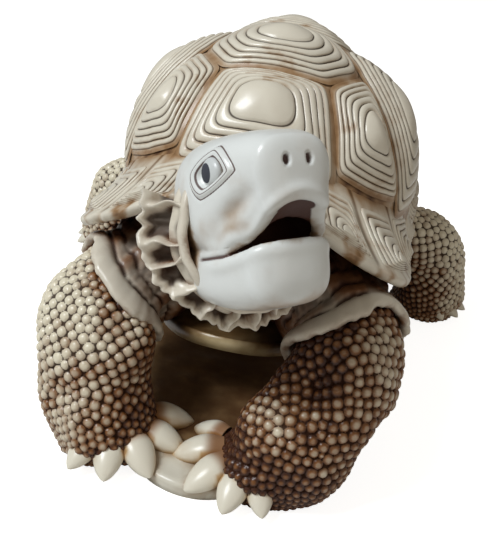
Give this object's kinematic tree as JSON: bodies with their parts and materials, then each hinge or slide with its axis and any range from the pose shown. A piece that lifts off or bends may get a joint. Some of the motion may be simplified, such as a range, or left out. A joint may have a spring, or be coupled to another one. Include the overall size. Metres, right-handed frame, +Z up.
{
  "type": "tortoise figurine",
  "caption": "Small ornamental tortoise with a ringed domed shell, beaded legs, an open mouth and a turned head, standing on a thin ground slab.",
  "frame": {"origin": "on the underside of the ground slab, in the animal's middle plane, near the point under the shell's centre", "axes": "+Z up, -Y towards the animal's front, +X towards the animal's left"},
  "size_m": [0.0854, 0.091, 0.0583],
  "materials": {
    "shell": "satin",
    "skin": "satin",
    "beaded_skin": "satin",
    "ivory": "gloss",
    "eye": "gloss",
    "claw": "gloss",
    "base": "satin",
    "pin": "matte"
  },
  "bodies": {
    "root": {"base_plate": "base", "carapace": "shell", "plastron": "base", "trunk": "skin", "neck": "skin", "neck_skin": "skin", "head": "ivory", "left_eye": "eye", "right_eye": "eye", "front_left_leg": "beaded_skin", "front_right_leg": "beaded_skin", "hind_left_leg": "beaded_skin", "hind_right_leg": "beaded_skin", "left_shoulder_skin": "skin", "right_shoulder_skin": "skin", "front_left_claws": "claw", "front_right_claws": "claw", "hind_left_claws": "claw", "hind_right_claws": "claw", "tail": "beaded_skin", "leg_dowels": "pin", "neck_dowels": "pin", "tail_dowel": "pin"}
  },
  "joints": []
}
